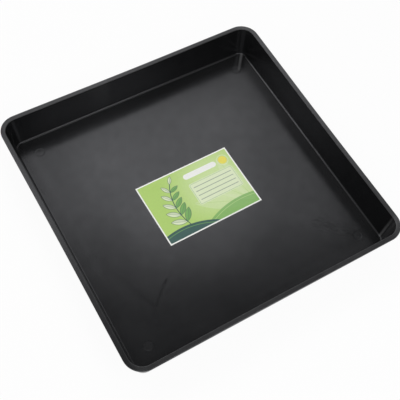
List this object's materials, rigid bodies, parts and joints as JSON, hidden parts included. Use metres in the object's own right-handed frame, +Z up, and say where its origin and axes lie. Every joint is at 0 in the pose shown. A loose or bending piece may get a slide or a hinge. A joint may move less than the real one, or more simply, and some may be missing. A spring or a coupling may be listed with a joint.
{
  "type": "square garden tray",
  "caption": "Shallow square plastic tray with drafted walls, rounded corners and a flat lipped rim, to stand plant pots in; a paper label lies on its floor.",
  "frame": {"origin": "middle of the tray, on the surface that it stands on", "axes": "+Z up; the sides lie along X and Y; the label's long edges lie along X and its foot faces -Y"},
  "size_m": [0.6, 0.6, 0.07],
  "materials": {
    "tray_plastic": "black moulded polypropylene with a satin sheen",
    "label_paper": "printed coated paper, light green with a white border"
  },
  "bodies": {
    "root": {"tray": "tray_plastic", "label": "label_paper"}
  },
  "joints": []
}
